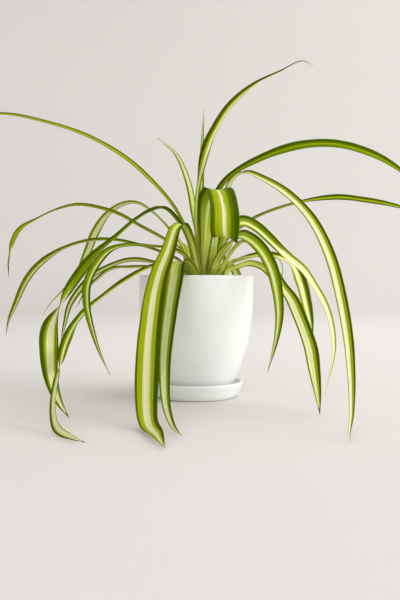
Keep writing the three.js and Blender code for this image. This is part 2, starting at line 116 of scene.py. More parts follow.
# Every leaf as in the model, in millimetres and without the leaf_ of its name. heading and rise are the
# angles at which it leaves the crown, path is the midrib after that, and each twist is (from, to, degrees)
# over shares of its length.
LEAVES = (
    Leaf("tall_right", heading=203, rise=74, width=11, broad_to=0.36, path=(
        (0, -2, 172), (-1, -4, 208), (2, -5, 240), (11, -5, 280), (25, -2, 310), (40, 2, 332),
        (67, 8, 356), (97, 13, 372), (122, 17, 384.5), (135, 18, 380),
    ), twist=((0.3, 0.55, 110), (0.66, 0.82, 45))),
    Leaf("upright_thin", heading=100, rise=72, width=6.5, path=(
        (6, 13, 172), (6, 16, 225), (7, 17, 283), (9, 18, 328),
    )),
    Leaf("lean_left", heading=150, rise=68, width=7.5, broad_to=0.55, path=(
        (1, 8, 178), (-3, 11, 211), (-9, 15, 244), (-23, 19, 277), (-44, 22, 297),
    ), twist=((0.1, 0.5, -40),)),
    Leaf("far_left", heading=160, rise=58, width=9.5, broad_to=0.76, path=(
        (-6, 8, 175), (-19, 16, 205), (-37, 22, 231), (-81, 35, 274), (-128, 45, 302.5),
        (-175, 52, 319.5), (-238, 60, 332.5), (-285, 66, 326),
    ), twist=((0.1, 0.4, -22),)),
    Leaf("high_right", heading=40, rise=72, width=12, broad_to=0.72, path=(
        (17, 9, 181), (19, 13, 217), (36, 18, 248.5), (77, 22, 274), (122, 26, 289), (164, 30, 291),
        (208, 34, 279.5), (242, 38, 261), (276, 40, 234),
    ), twist=((0.3, 0.55, 30),)),
    Leaf("long_right", heading=322, rise=62, width=11.5, broad_to=0.62, path=(
        (25, -12, 186), (34, -22, 227), (41, -32, 242), (51, -42, 249), (71, -60, 240), (93, -84, 223),
        (114, -112, 196), (128, -142, 160), (135, -170, 119), (139, -188, 79), (139, -204, 45),
        (136, -222, 20), (130, -246, 7), (127, -264, 3.5),
    ), twist=((0.2, 0.4, 20),)),
    Leaf("thin_right", heading=36, rise=46, width=9, broad_to=0.7, path=(
        (31, 20, 171), (64, 38, 202), (91, 46, 215), (132, 55, 227), (172, 61, 232), (206, 66, 229),
        (238, 71, 224), (264, 76, 217), (285, 80, 204),
    ), twist=((0.3, 0.6, 15), (0.46, 0.66, 26))),
    Leaf("pale_right", heading=16, rise=56, width=15, full_at=0.16, broad_to=0.36, path=(
        (30, 6, 172), (41, 8, 194), (55, 11, 199), (69, 14, 193), (83, 14, 181), (97, 13, 167),
        (110, 12, 155), (123, 10, 144), (136, 7, 125), (147, 4, 105), (154, 2, 84), (157, -2, 58),
        (153, -6, 30), (146, -12, 4),
    ), twist=((0.02, 0.2, 60), (0.34, 0.46, -15))),
    Leaf("back_right", heading=34, rise=22, width=17, broad_to=0.72, path=(
        (37, 20, 148), (54, 36, 156), (79, 48, 161), (101, 54, 159), (117, 57, 149), (127, 59, 128),
        (133, 60, 105), (138, 60, 83), (142, 60, 61),
    ), twist=((0.2, 0.45, 35), (0.5, 0.65, 42))),
    Leaf("hook_right", heading=10, rise=26, width=9, path=(
        (39, 13, 153), (64, 20, 159), (84, 25, 161), (97, 28, 157), (102, 30, 144), (99, 30, 128),
    ), twist=((0.2, 0.6, 30),)),
    Leaf("striped_right", heading=308, rise=48, width=15.5, full_at=0.2, broad_to=0.28, path=(
        (25, -14, 153), (37, -24, 169), (48, -34, 181), (59, -42, 177), (69, -52, 167), (77, -64, 153),
        (82, -78, 137), (85, -92, 114), (85, -102, 94), (81, -110, 72), (72, -117, 41),
    ), twist=((0.13, 0.27, 55),)),
    Leaf("large_right", heading=336, rise=42, width=14, full_at=0.45, broad_to=0.76, path=(
        (34, -11, 152), (43, -14, 166), (52, -20, 175), (62, -28, 173), (71, -38, 163), (81, -50, 147),
        (90, -66, 128), (100, -82, 112), (106, -95, 96), (111, -107, 80), (115, -118, 64),
        (117, -129, 43), (119, -140, 20), (120, -146, 3.5),
    ), twist=((0.4, 0.6, 30),)),
    Leaf("low_right", heading=348, rise=24, width=10, path=(
        (34, -4, 140), (49, 2, 147), (62, 8, 151), (76, 12, 147), (90, 14, 132), (99, 12, 84),
    )),
    Leaf("broad_front", heading=267, rise=66, width=27, broad_to=0.84, path=(
        (10, -16, 166), (13, -22, 197), (16, -36, 219), (21, -64, 227), (25, -100, 221),
        (27.5, -138, 204), (28, -158, 190), (28, -163, 180), (29, -157, 174.5), (31, -145, 177),
        (33.5, -132, 185),
    ), twist=((0.15, 0.4, 15), (0.83, 0.94, 36))),
    Leaf("front_long", heading=243, rise=54, width=24, full_at=0.6, broad_to=0.6, path=(
        (-5, -18, 174), (-13, -34, 192), (-20.5, -56, 188), (-28, -90, 161), (-37, -115, 132),
        (-43, -146, 82), (-44.5, -170, 27), (-41, -203, 6.5), (-31, -245, 4), (-23, -290, 3),
    )),
    Leaf("front_short", heading=252, rise=30, width=19.5, full_at=0.2, broad_to=0.2, path=(
        (-7, -26, 149), (-17.5, -52, 150), (-20.5, -88, 133), (-25.5, -128, 94), (-28.5, -155, 56),
        (-26.5, -180, 22), (-20, -208, 6), (-10.5, -245, 3),
    )),
    Leaf("kinked_left", heading=207, rise=63, width=18.5, full_at=0.6, broad_to=0.78, path=(
        (-10, -8, 178), (-22, -16, 200), (-36, -26, 212), (-50, -36, 208), (-67, -54, 195),
        (-83, -74, 178), (-100, -94, 160), (-113, -112, 141), (-125, -126, 121), (-133, -136, 104),
        (-139, -143, 87), (-140, -148, 66), (-137, -154, 40), (-129, -160, 19), (-118, -166, 4),
    ), twist=((0.2, 0.4, 38), (0.46, 0.58, 30), (0.63, 0.83, -114))),
    Leaf("low_left_long", heading=222, rise=20, width=12, broad_to=0.7, path=(
        (-14, -17, 141), (-31, -32, 150), (-49, -50, 146), (-69, -74, 135), (-87, -94, 122),
        (-103, -112, 108), (-115, -128, 94), (-123, -142, 76), (-127, -156, 57), (-129, -172, 36),
        (-128, -190, 18), (-123, -210, 7.5), (-115, -230, 4), (-101, -252, 3), (-88, -270, 3),
    ), twist=((0.05, 0.25, 42), (0.38, 0.48, 16), (0.48, 0.55, 32), (0.585, 0.67, -68))),
    Leaf("outer_left_high", heading=184, rise=48, width=9, broad_to=0.8, path=(
        (-16, 0, 166), (-37, -4, 179), (-63, -8, 193), (-86, -11, 206), (-108, -14, 213),
        (-133, -18, 216), (-157, -22, 210), (-178, -26, 199), (-194, -30, 187), (-202, -33, 170),
        (-205, -35, 152), (-205, -36, 135),
    ), twist=((0.05, 0.25, 22), (0.55, 0.68, -22), (0.7, 0.84, 40), (0.86, 0.94, -50))),
    Leaf("outer_left_mid", heading=202, rise=36, width=10, broad_to=0.72, path=(
        (-18, -9, 153), (-40, -20, 164), (-62, -28, 171), (-88, -36, 176), (-115, -43, 175),
        (-141, -49, 167), (-165, -55, 151), (-180, -60, 132), (-191, -65, 106), (-197, -68, 91),
        (-200, -71, 75),
    ), twist=((0.2, 0.5, 20), (0.55, 0.75, 30))),
    Leaf("drop_left", heading=224, rise=44, width=12, broad_to=0.36, path=(
        (-11, -17, 157), (-28, -30, 167), (-49, -48, 169), (-71, -70, 169), (-88, -92, 163),
        (-99, -116, 147), (-105, -134, 128), (-104, -144, 109), (-99, -152, 90), (-91, -158, 67),
        (-80, -163, 44),
    ), twist=((0.1, 0.35, -20),)),
    Leaf("back_left_arc", heading=158, rise=42, width=13, path=(
        (-14, 14, 165), (-28, 25, 187), (-49, 36, 210), (-67, 43, 222), (-84, 48, 223), (-104, 54, 213),
        (-122, 59, 189), (-132, 62, 166), (-144, 64, 140), (-164, 66, 118), (-178, 67, 104),
        (-188, 68, 90),
    ), twist=((0.1, 0.3, 12), (0.5, 0.66, 38), (0.72, 0.85, -50))),
    Leaf("low_left_a", heading=182, rise=18, width=10, broad_to=0.65, path=(
        (-20, 1, 142), (-53, 6, 153), (-76, 4, 155), (-98, 1, 148), (-117, -4, 137), (-131, -8, 121),
        (-142, -12, 103), (-147, -15, 83), (-152, -18, 60),
    ), twist=((0.1, 0.35, 20), (0.5, 0.75, 25))),
    Leaf("low_left_b", heading=160, rise=18, width=9, broad_to=0.6, path=(
        (-19, 12, 139), (-54, 29, 147), (-78, 33, 147), (-100, 35, 145), (-117, 35, 133), (-131, 34, 118),
        (-142, 33, 99),
    ), twist=((0.1, 0.35, 15),)),
    Leaf("back_centre", heading=96, rise=57, width=15, path=(
        (8, 32, 160), (6, 66, 177), (2, 112, 166), (-3, 154, 120), (-6, 178, 60), (-5, 196, 14),
        (-1, 228, 3.5),
    )),
    Leaf("back_centre_right", heading=72, rise=43, width=14, path=(
        (20, 33, 158), (26, 70, 172), (31, 112, 154), (35, 142, 104), (37, 154, 40),
    )),
    Leaf("back_centre_left", heading=122, rise=43, width=15, path=(
        (-8, 30, 160), (-24, 60, 175), (-41, 100, 160), (-52, 134, 112), (-56, 152, 52), (-54, 160, 12),
    )),
    Leaf("back_low_left", heading=136, rise=26, width=12, path=(
        (-14, 26, 145), (-34, 54, 149), (-54, 84, 130), (-64, 102, 90), (-66, 108, 40),
    )),
    Leaf("back_low_centre", heading=111, rise=26, width=13, path=(
        (0, 34, 145), (-8, 68, 150), (-16, 98, 126), (-20, 114, 80), (-22, 118, 34),
    )),
    Leaf("back_low_right", heading=86, rise=26, width=12, path=(
        (14, 34, 145), (20, 70, 149), (26, 100, 126), (30, 116, 82), (32, 120, 36),
    )),
    Leaf("back_outer_right", heading=61, rise=26, width=12, path=(
        (26, 28, 145), (42, 56, 149), (52, 84, 130), (56, 98, 92), (56, 104, 46),
    )),
    Leaf("young_left", heading=300, rise=86, width=8, path=(
        (9, -5, 165), (8, -8, 184), (5, -11, 200),
    )),
    Leaf("young_right", heading=336, rise=74, width=8, path=(
        (17, -2, 162), (19, -3, 184), (22, -5, 204),
    )),
)

# How a leaf is marked, as shares of its width, seen from above with the tip towards the viewer: the
# cream stripe and how far it lies off the middle, the dark margins at left and right; how yellow its
# green is, and how much of the tip is dry. The margins are the leaf's own darker edges, and a right
# margin wider than the left is also painted shade on the half of the blade that faces away from the
# light. Up to pale_from, a share of its length, a leaf has less cream, a wider right margin and deeper
# green: painted shade on the stretch before the blade turns over. Leaves not named here draw theirs
# between the two limits.
Marks = namedtuple("Marks", "cream shift left right yellow dry pale_from", defaults=(0.0, 0.0))
MARKS = {
    "broad_front": Marks(0.11, -0.05, 0.14, 0.19, 0.45),
    "front_long": Marks(0.22, -0.04, 0.03, 0.26, 0.9),
    "front_short": Marks(0.34, -0.14, 0.05, 0.2, 0.75),
    "striped_right": Marks(0.2, -0.1, 0.08, 0.2, 0.6, 0.02),
    "large_right": Marks(0.3, -0.14, 0.08, 0.24, 0.7, 0.015),
    "long_right": Marks(0.32, -0.15, 0.05, 0.22, 0.7),
    "pale_right": Marks(0.7, -0.1, 0.02, 0.05, 0.95, pale_from=0.42),
    "hook_right": Marks(0.6, 0.0, 0.02, 0.05, 0.95),
    "high_right": Marks(-0.5, 0.0, 0.04, 0.3, -0.6),
    "back_right": Marks(0.3, -0.1, 0.03, 0.24, 0.6),
    "kinked_left": Marks(0.32, 0.02, 0.2, 0.12, 0.5, 0.01, pale_from=0.66),
    "low_left_long": Marks(0.55, 0.06, 0.14, 0.05, 0.8, 0.01, pale_from=0.66),
    "outer_left_high": Marks(-0.1, 0.05, 0.2, 0.06, 0.4, 0.03),
    "tall_right": Marks(0.19, 0.24, 0.36, 0.05, 0.95),
    "upright_thin": Marks(0.1, 0.0, 0.1, 0.1, 0.6),
    "far_left": Marks(-0.2, 0.0, 0.15, 0.15, 0.2),
    "back_left_arc": Marks(0.5, 0.0, 0.02, 0.04, 0.9),
    "outer_left_mid": Marks(0.08, 0.0, 0.1, 0.12, 0.4, 0.01),
    "thin_right": Marks(-0.2, 0.0, 0.3, 0.3, 0.2),
    "drop_left": Marks(0.14, 0.08, 0.12, 0.2, 0.3, 0.01),
}
# Drawn right margins run wider than left ones: partly the leaf's own edge, partly painted shade.
FEWEST_MARKS = Marks(0.2, -0.1, 0.02, 0.07, 0.35, 0.0)
MOST_MARKS = Marks(0.4, 0.1, 0.08, 0.17, 0.85, 0.015)
# These three paint shade on a leaf's stretch before pale_from, before the blade turns over.
GREEN_CREAM = 0.45  # by how much the cream is narrower where a leaf isn't pale yet
GREEN_MARGIN = 0.15  # by how much its right margin is wider there
GREEN_YELLOW = 0.8  # by how much its green is less yellow there
PALE_BLUR = 0.06  # share of its length over which it turns pale, to either side of pale_from

LEAF_START = 0.009  # straight stretch off the crown
LEAF_SUNK = 0.0045  # how far a leaf's foot reaches into the crown
BASE_WIDTH = 0.0084  # width of a broad leaf at the crown
BASE_SHARE = 0.6  # share of a narrow leaf's width that it has at the crown
TIP_WIDTH = 0.0005
TAPER = 1.9  # how late the blade narrows to its tip
UNEVEN = 0.05  # share by which its width wanders
SWAY_HALF = 0.005  # half width of a blade whose edges wave by just the waviness
FOLD = (0.55, 0.24, 0.34)  # depth of the channel over half the width: base, middle, tip
RIB = (0.0013, 0.0007)  # thickness at the rib, at the base and at the tip
EDGE = 0.00042  # thickness near the edges
ROW_GAP = 0.002
FEWEST_ROWS = 12
PATH_STEPS = 40
SEED_STEP = 3.7  # keeps the waves of one leaf unlike the next one's
BLADE_VALUES, BLADE_VECTORS = ("draw", "across", "along", "dry"), ("stripe", "margins")

# The photograph's view, with its level line at row 275 of 600.
CAMERA_PLACE = Vector((0.0046, -0.912, 0.138))
CAMERA_LENS, CAMERA_SENSOR = 48.0, 36.0  # millimetres
CAMERA_TILT = math.radians(1.79)

# The colour of each light, and the colours of the finishes that aren't settings.
WARM_LIGHT = (1.0, 0.99, 0.975)
COOL_LIGHT = (0.97, 0.985, 1.0)
ROOM_LIGHT = (1.0, 0.985, 0.96)
ROOM_STRENGTH = 0.46
LEAF_COLOURS = ("Cream", "Light", "Green", "Margin", "Foot")
COOL_GLAZE = (0.965, 0.98, 1.0, 1)
DRY_PEAT, BARK, PERLITE = (0.13, 0.075, 0.042, 1), (0.2, 0.1, 0.045, 1), (0.62, 0.6, 0.54, 1)
DRY_LEAF = (0.09, 0.045, 0.015, 1)
CROWN_PALE = (0.30, 0.33, 0.07, 1), (0.62, 0.60, 0.28, 1)
CROWN_BROWN = (0.10, 0.06, 0.03, 1), (0.34, 0.24, 0.12, 1)


class PotSettings(bpy.types.PropertyGroup):
    """Fineness and glaze of the pot and its saucer."""

    steps: IntProperty(
        name="Steps Round", description="Faces round the pot and the saucer", default=160, min=24, max=512
    )
    glaze: FloatVectorProperty(
        name="Glaze", description="Colour of the glaze", subtype="COLOR", size=3, min=0, max=1,
        default=(0.88, 0.89, 0.87),
    )
    roughness: FloatProperty(
        name="Glaze Roughness", description="How far the glaze blurs what it mirrors", default=0.2,
        min=0, max=1, subtype="FACTOR",
    )
    wobble: FloatProperty(
        name="Wobble", description="How far the wall strays from a true round", default=0.00022,
        min=0, max=0.002, unit="LENGTH",
    )


class SoilSettings(bpy.types.PropertyGroup):
    """Grain and colour of the potting soil."""

    crumbs: IntProperty(
        name="Crumbs", description="Loose crumbs on top of the soil", default=1100, min=0, max=4000
    )
    crumb: FloatProperty(
        name="Crumb Size", description="Radius of a middling crumb", default=0.0011, min=0.0002,
        max=0.005, unit="LENGTH",
    )
    lumps: FloatProperty(
        name="Lumps", description="Height of the soil's lumps", default=0.0012, min=0, max=0.005,
        unit="LENGTH",
    )
    colour: FloatVectorProperty(
        name="Soil", description="Colour of the moist soil", subtype="COLOR", size=3, min=0, max=1,
        default=(0.045, 0.026, 0.015),
    )


class LeafSettings(bpy.types.PropertyGroup):
    """Fineness, colours and growth of the leaves."""

    half_columns: IntProperty(
        name="Columns", description="Faces across each side of a blade", default=10, min=4, max=32
    )
    waviness: FloatProperty(
        name="Waviness", description="How far a blade's edges wave up and down", default=0.0005, min=0,
        max=0.004, unit="LENGTH",
    )
    cream: FloatVectorProperty(
        name="Cream", description="Colour of the middle stripe", subtype="COLOR", size=3, min=0, max=1,
        default=(0.8, 0.81, 0.47),
    )
    light: FloatVectorProperty(
        name="Light Green", description="Colour beside the middle stripe", subtype="COLOR", size=3,
        min=0, max=1, default=(0.34, 0.43, 0.006),
    )
    green: FloatVectorProperty(
        name="Green", description="Colour of the blade", subtype="COLOR", size=3, min=0, max=1,
        default=(0.135, 0.20, 0.001),
    )
    margin: FloatVectorProperty(
        name="Margin", description="Colour of the blade's edges", subtype="COLOR", size=3, min=0, max=1,
        default=(0.065, 0.10, 0.001),
    )
    # The foot colour is the leaves' own pale bases, made brighter and yellower as painted light shining
    # through the leaves round the crown.
    foot: FloatVectorProperty(
        name="Foot", description="Colour of the lines at the foot of a leaf", subtype="COLOR", size=3,
        min=0, max=1, default=(0.86, 0.94, 0.2),
    )
    # The underside takes the upper side's colours made darker: painted shade.
    underside: FloatProperty(
        name="Underside", description="Brightness of the underside against the upper side", default=0.92,
        min=0, max=1, subtype="FACTOR",
    )
    seed: IntProperty(name="Seed", description="Draw of the markings", default=11, min=0)


class StageSettings(bpy.types.PropertyGroup):
    """The pale studio round the plant."""

    floor: FloatVectorProperty(
        name="Floor", description="Colour of the floor and backdrop", subtype="COLOR", size=3, min=0,
        max=1, default=(0.78, 0.767, 0.75),
    )
    radius: FloatProperty(
        name="Backdrop Radius", description="Distance of the backdrop from the plant", default=3.4,
        min=1.5, max=20, unit="LENGTH",
    )
    key: FloatProperty(
        name="Key Light", description="Power of the light from the right", default=58, min=0, unit="POWER"
    )
    fill: FloatProperty(
        name="Fill Light", description="Power of the low light in front", default=12.5, min=0, unit="POWER"
    )
    top: FloatProperty(
        name="Top Light", description="Power of the light from above", default=11, min=0, unit="POWER"
    )
    back: FloatProperty(
        name="Wall Light", description="Power of the light on the backdrop", default=18, min=0, unit="POWER"
    )


def curve_through(points, steps):
    """A smooth curve through the points, closer to their chords where they lie close together."""
    points = [Vector(p) for p in points]
    line = [2 * points[0] - points[1], *points, 2 * points[-1] - points[-2]]
    made = []
    for a, b, c, d in zip(line, line[1:], line[2:], line[3:]):
        before, here, after = (math.sqrt((q - p).length) for p, q in ((a, b), (b, c), (c, d)))
        leaving = ((b - a) / before - (c - a) / (before + here) + (c - b) / here) * here
        arriving = ((c - b) / here - (d - b) / (here + after) + (d - c) / after) * here
        for i in range(steps):
            t = i / steps
            start = (2 * t**3 - 3 * t**2 + 1) * b + (t**3 - 2 * t**2 + t) * leaving
            made.append(start + (3 * t**2 - 2 * t**3) * c + (t**3 - t**2) * arriving)
    return [*made, points[-1]]


def arc(radius_at, height_at, radius, start, end, steps):
    """Points of an outline round one centre, between two angles in degrees."""
    angles = [math.radians(start + (end - start) * i / steps) for i in range(steps + 1)]
    return [(radius_at + radius * math.cos(a), height_at + radius * math.sin(a)) for a in angles]


def smoothstep(value, low=0.0, high=1.0):
    """0 below low, 1 above high and a smooth rise between them."""
    t = min(1.0, max(0.0, (value - low) / (high - low)))
    return t * t * (3 - 2 * t)


def blend(a, b, share):
    """The value between a and b."""
    return a + (b - a) * share


def turned(bm, outline, steps):
    """Adds an outline turned round the axis, closed unless it meets the axis, and returns its vertices."""
    line = [bm.verts.new((radius, 0, height)) for radius, height in outline]
    edges = [bm.edges.new(pair) for pair in zip(line, line[1:])]
    if outline[0][0] > 0 and outline[-1][0] > 0:
        edges.append(bm.edges.new((line[-1], line[0])))
    bmesh.ops.spin(
        bm, geom=line + edges, cent=(0, 0, 0), axis=(0, 0, 1), dvec=(0, 0, 0), angle=TURN, steps=steps,
        use_merge=True, use_duplicate=False,
    )
    bmesh.ops.remove_doubles(bm, verts=bm.verts, dist=1e-6)
    bmesh.ops.recalc_face_normals(bm, faces=bm.faces)
    return bm.verts[:]


def smooth_object(name, bm, materials):
    """Turns a bmesh into a smooth object of these materials."""
    for face in bm.faces:
        face.smooth = True
    mesh = bpy.data.meshes.new(name)
    bm.to_mesh(mesh)
    bm.free()
    for material in materials:
        mesh.materials.append(material)
    made = bpy.data.objects.new(name, mesh)
    bpy.context.scene.collection.objects.link(made)
    return made


def finished(name, bm, materials, node):
    """Turns a bmesh into a piece that stands for a node of the model and rides on its body."""
    piece = smooth_object(name, bm, materials)
    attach(piece, BODY)
    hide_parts(node)


def add_node(tree, kind, inputs=None, **settings):
    """A shader node with its settings, and with a value or a link for each named input."""
    node = tree.nodes.new(kind)
    for key, value in settings.items():
        setattr(node, key, value)
    for key, value in (inputs or {}).items():
        if isinstance(value, bpy.types.NodeSocket):
            tree.links.new(value, node.inputs[key])
        else:
            node.inputs[key].default_value = value
    return node


def maths(tree, operation, *values, clamp=False):
    """The result of a Math node."""
    inputs = dict(enumerate(values))
    return add_node(tree, "ShaderNodeMath", inputs, operation=operation, use_clamp=clamp).outputs[0]


def ramp(tree, value, low, high, bottom=0.0, top=1.0):
    """A smooth step of a value, from bottom to top."""
    inputs = {"Value": value, "From Min": low, "From Max": high, "To Min": bottom, "To Max": top}
    return add_node(tree, "ShaderNodeMapRange", inputs, interpolation_type="SMOOTHSTEP").outputs[0]


def mixed(tree, share, first, second, blend_type="MIX"):
    """Two colours mixed."""
    inputs = {0: share, 6: first, 7: second}
    node = add_node(tree, "ShaderNodeMix", inputs, data_type="RGBA", blend_type=blend_type)
    return node.outputs[2]


def joined(tree, x, y, z):
    """A vector from three values."""
    return add_node(tree, "ShaderNodeCombineXYZ", {"X": x, "Y": y, "Z": z}).outputs[0]


def noise_value(tree, vector, scale, detail=2.0, roughness=0.5):
    """The value of a Noise Texture."""
    inputs = {"Vector": vector, "Scale": scale, "Detail": detail, "Roughness": roughness}
    return add_node(tree, "ShaderNodeTexNoise", inputs).outputs["Fac"]


def new_group(name, inputs, outputs):
    """A shader node group, with the sockets that its inside reads and writes."""
    tree = bpy.data.node_groups.new(name, "ShaderNodeTree")
    for socket, kind, value in inputs:
        made = tree.interface.new_socket(socket, in_out="INPUT", socket_type=kind)
        made.default_value = value
    for socket, kind in outputs:
        tree.interface.new_socket(socket, in_out="OUTPUT", socket_type=kind)
    return tree, tree.nodes.new("NodeGroupInput").outputs, tree.nodes.new("NodeGroupOutput").inputs


def new_material(name, values):
    """A material with these values on its Principled BSDF, and its tree and that shader."""
    material = bpy.data.materials.new(name)
    material.use_nodes = True
    tree = material.node_tree
    shader = tree.nodes["Principled BSDF"]
    for key, value in values.items():
        shader.inputs[key].default_value = value
    return material, tree, shader


def add_bump(tree, shader, height, strength, distance):
    """Gives a shader bumps from a height."""
    inputs = {"Height": height, "Strength": strength, "Distance": distance}
    bump = add_node(tree, "ShaderNodeBump", inputs)
    tree.links.new(bump.outputs["Normal"], shader.inputs["Normal"])


def add_group(tree, shader, group, inputs, strength, distance):
    """Gives a shader the colour and roughness of a node group, and bumps from its height."""
    look = add_node(tree, "ShaderNodeGroup", inputs, node_tree=group)
    tree.links.new(look.outputs["Color"], shader.inputs["Base Color"])
    tree.links.new(look.outputs["Roughness"], shader.inputs["Roughness"])
    add_bump(tree, shader, look.outputs["Height"], strength, distance)


def opaque(colour):
    """A colour with full alpha, for a node's socket."""
    return (*colour, 1.0)


def glaze_group():
    """Glaze over clay: faint clouds of a cooler white, and a surface that isn't quite even."""
    tree, given, put = new_group(
        "glaze over clay",
        [
            ("Glaze", "NodeSocketColor", (0.8, 0.8, 0.8, 1)),
            ("Clouds", "NodeSocketFloat", 30.0),
            ("Roughness", "NodeSocketFloat", 0.2),
        ],
        [("Color", "NodeSocketColor"), ("Roughness", "NodeSocketFloat"), ("Height", "NodeSocketFloat")],
    )
    place = add_node(tree, "ShaderNodeTexCoord").outputs["Object"]
    clouds = noise_value(tree, place, given["Clouds"], detail=3.0)
    cooler = mixed(tree, 1.0, given["Glaze"], COOL_GLAZE, "MULTIPLY")
    tree.links.new(mixed(tree, ramp(tree, clouds, 0.35, 0.7), given["Glaze"], cooler), put["Color"])
    rougher = maths(tree, "MULTIPLY_ADD", clouds, 0.12, -0.06)
    tree.links.new(maths(tree, "ADD", given["Roughness"], rougher, clamp=True), put["Roughness"])
    stretched = add_node(tree, "ShaderNodeMapping", {"Vector": place, "Scale": (1.0, 1.0, 0.22)})
    runs = noise_value(tree, stretched.outputs[0], 95.0, detail=2.0)
    pits = noise_value(tree, place, 900.0, detail=1.0)
    tree.links.new(maths(tree, "MULTIPLY_ADD", pits, 0.08, runs), put["Height"])
    return tree


def glazed(name, group, settings, clouds):
    """The glaze of one piece of pottery."""
    values = {"Roughness": settings.roughness, "Coat Weight": 0.35, "Coat Roughness": 0.08}
    material, tree, shader = new_material(name, values)
    inputs = {"Glaze": opaque(settings.glaze), "Clouds": clouds, "Roughness": settings.roughness}
    add_group(tree, shader, group, inputs, 0.3, 0.0006)
    return material


def pot_outline():
    """Outside up to the rolled rim, and inside down to the drain hole."""
    side = [(p.x, p.z) for p in curve_through([(r, 0, z) for r, z in POT_SIDE], 8)]
    lip = arc(POT_RIM.x - POT_LIP, POT_RIM.z - POT_LIP, POT_LIP, 0, 180, LIP_STEPS)
    floor = POT_FOOT.z + POT_RECESS + POT_FLOOR
    inside = [(r - POT_WALL, z) for r, z in side if floor + POT_CORNER < z < POT_RIM.z - 2 * POT_LIP]
    ring = POT_FOOT_RADIUS - POT_FOOT_RING
    return [
        (ring, POT_FOOT.z),
        (POT_FOOT_RADIUS - 0.0006, POT_FOOT.z),
        (POT_FOOT_RADIUS + 0.0002, POT_FOOT.z + 0.0005),
        *side[1:-1],
        *lip,
        *reversed(inside),
        (POT_FOOT_RADIUS - POT_WALL - 0.003, floor),
        (DRAIN_RADIUS, floor),
        (DRAIN_RADIUS, POT_FOOT.z + POT_RECESS),
        (ring - POT_RECESS, POT_FOOT.z + POT_RECESS),
    ]


def stray(vertex, reach):
    """Moves a vertex in or out a little, as a hand-made wall strays from a true round."""
    level = Vector((vertex.co.x, vertex.co.y, 0))
    if level.length > DRAIN_RADIUS * 2:
        vertex.co += level.normalized() * reach * noise.noise(vertex.co * WOBBLE_SCALE)


def make_pottery(context):
    """The pot and its saucer."""
    settings = context.scene.plant_pot
    group = glaze_group()
    bm = bmesh.new()
    for vertex in turned(bm, pot_outline(), settings.steps):
        stray(vertex, settings.wobble)
    finished("glazed_pot", bm, [glazed("pot glaze", group, settings, 22.0)], "pot")
    bm = bmesh.new()
    lip = arc(SAUCER_RIM.x - SAUCER_LIP, SAUCER_RIM.z - SAUCER_LIP, SAUCER_LIP, -10, 180, LIP_STEPS)
    outline = [(0.0, 0.0), *SAUCER_OUTSIDE, *lip, *SAUCER_INSIDE, (0.0, SAUCER_FLOOR)]
    turned(bm, outline, settings.steps)
    finished("glazed_saucer", bm, [glazed("saucer glaze", group, settings, 34.0)], "saucer")


def soil_material(settings):
    """Moist peat with bark and a little perlite: each crumb has its own shade."""
    material, tree, shader = new_material("potting soil", {"Roughness": 0.9})
    shade = add_node(tree, "ShaderNodeAttribute", attribute_name="crumb_shade").outputs["Fac"]
    place = add_node(tree, "ShaderNodeTexCoord").outputs["Object"]
    grain = noise_value(tree, place, 700.0, detail=4.0, roughness=0.7)
    damp = noise_value(tree, place, 60.0, detail=2.0)
    peat = mixed(tree, ramp(tree, grain, 0.3, 0.75), opaque(settings.colour), DRY_PEAT)
    barky = mixed(tree, ramp(tree, shade, 0.55, 0.75), peat, BARK)
    colour = mixed(tree, ramp(tree, shade, 0.955, 0.965), barky, PERLITE)
    tree.links.new(colour, shader.inputs["Base Color"])
    tree.links.new(ramp(tree, damp, 0.35, 0.7, 0.62, 0.95), shader.inputs["Roughness"])
    add_bump(tree, shader, grain, 0.7, 0.0006)
    return material


def soil_height(x, y, lumps):
    """Height of the lumpy top of the soil."""
    coarse = noise.noise(Vector((x * LUMP_SCALE, y * LUMP_SCALE, 1.7)))
    fine = noise.noise(Vector((x * GRAIN_SCALE, y * GRAIN_SCALE, 5.1)))
    return SOIL_TOP.z + lumps * (coarse + 0.5 * fine)


def add_crumb(soil, place, size, tone, draw):
    """Adds one rough, flattish crumb to the soil."""
    bm = bmesh.new()
    shade = bm.verts.layers.float.new("crumb_shade")
    turn = Matrix.Rotation(draw.uniform(0, TURN), 4, Vector((draw.random(), draw.random(), 1)))
    flat = Matrix.Diagonal((size, size * draw.uniform(0.5, 1), size * draw.uniform(0.35, 0.8), 1))
    fineness = 2 if size > COARSE_CRUMB else 1
    put = Matrix.Translation(place) @ turn @ flat
    bmesh.ops.create_icosphere(bm, subdivisions=fineness, radius=1, matrix=put)
    for vertex in bm.verts:
        vertex.co += noise.noise_vector(vertex.co * 900) * size * 0.22
        vertex[shade] = tone
    mesh = bpy.data.meshes.new("crumb")
    bm.to_mesh(mesh)
    bm.free()
    soil.from_mesh(mesh)
    bpy.data.meshes.remove(mesh)


